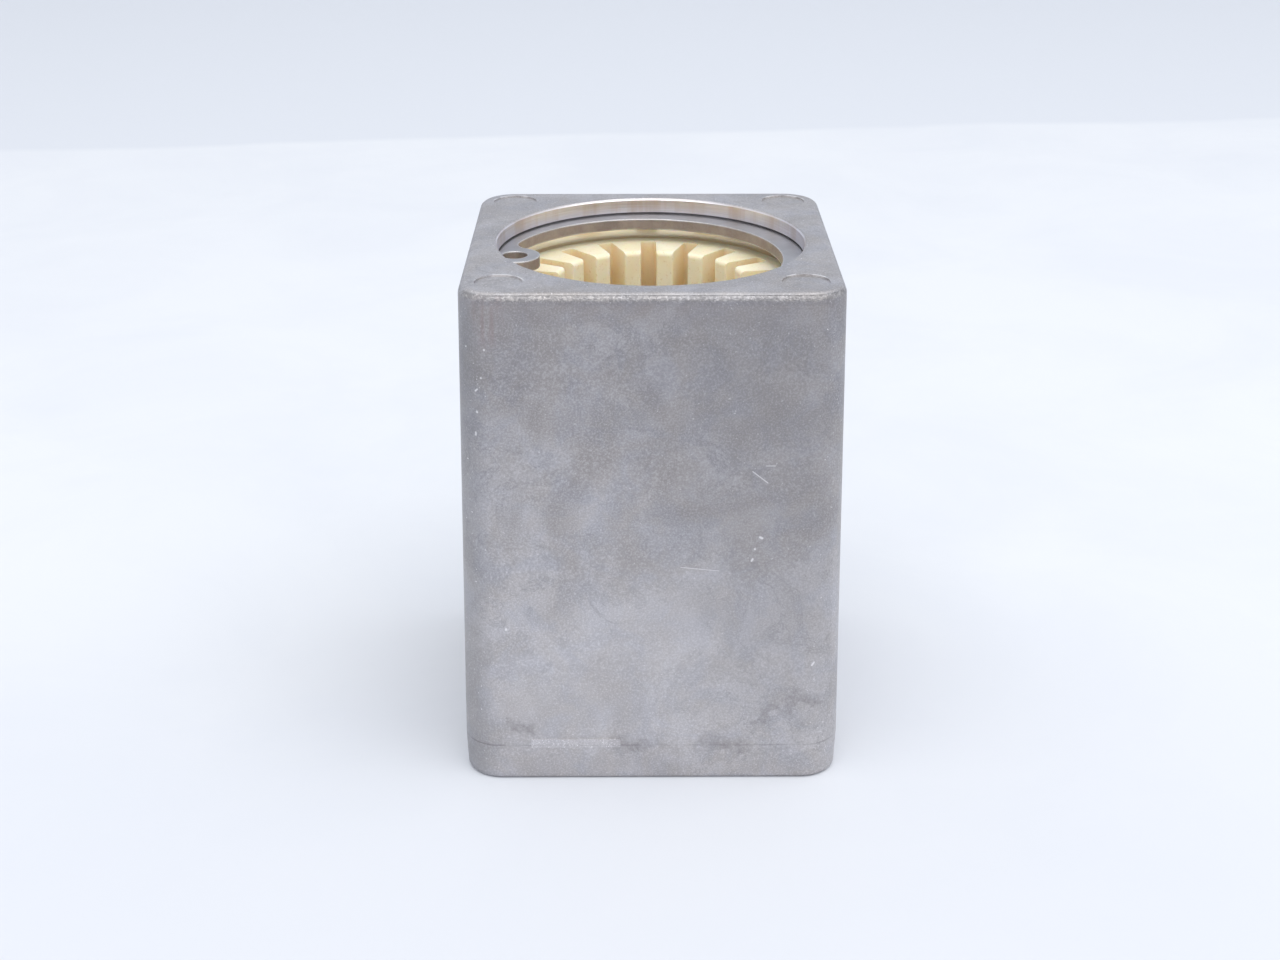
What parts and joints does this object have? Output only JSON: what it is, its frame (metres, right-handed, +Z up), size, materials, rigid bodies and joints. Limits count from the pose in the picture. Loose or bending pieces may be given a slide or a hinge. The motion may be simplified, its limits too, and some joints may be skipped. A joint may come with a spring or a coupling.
{
  "type": "linear bearing block",
  "caption": "Square cast bearing block with a slotted polymer sleeve for a round shaft, held in its bore by retaining rings.",
  "frame": {"origin": "centre of the shaft axis in the plane of the block's lower end face", "axes": "+Z up along the shaft axis, -Y towards the drafted front side, +Y out of the flat screwed mounting side, +X to the right seen from the front"},
  "size_m": [0.0394, 0.0384, 0.0533],
  "materials": {
    "cast_aluminium": "satin",
    "sleeve_polymer": "matte",
    "ring_steel": "satin"
  },
  "bodies": {
    "root": {"housing": "cast_aluminium", "bearing_sleeve": "sleeve_polymer", "upper_retaining_ring": "ring_steel", "lower_retaining_ring": "ring_steel"}
  },
  "joints": []
}
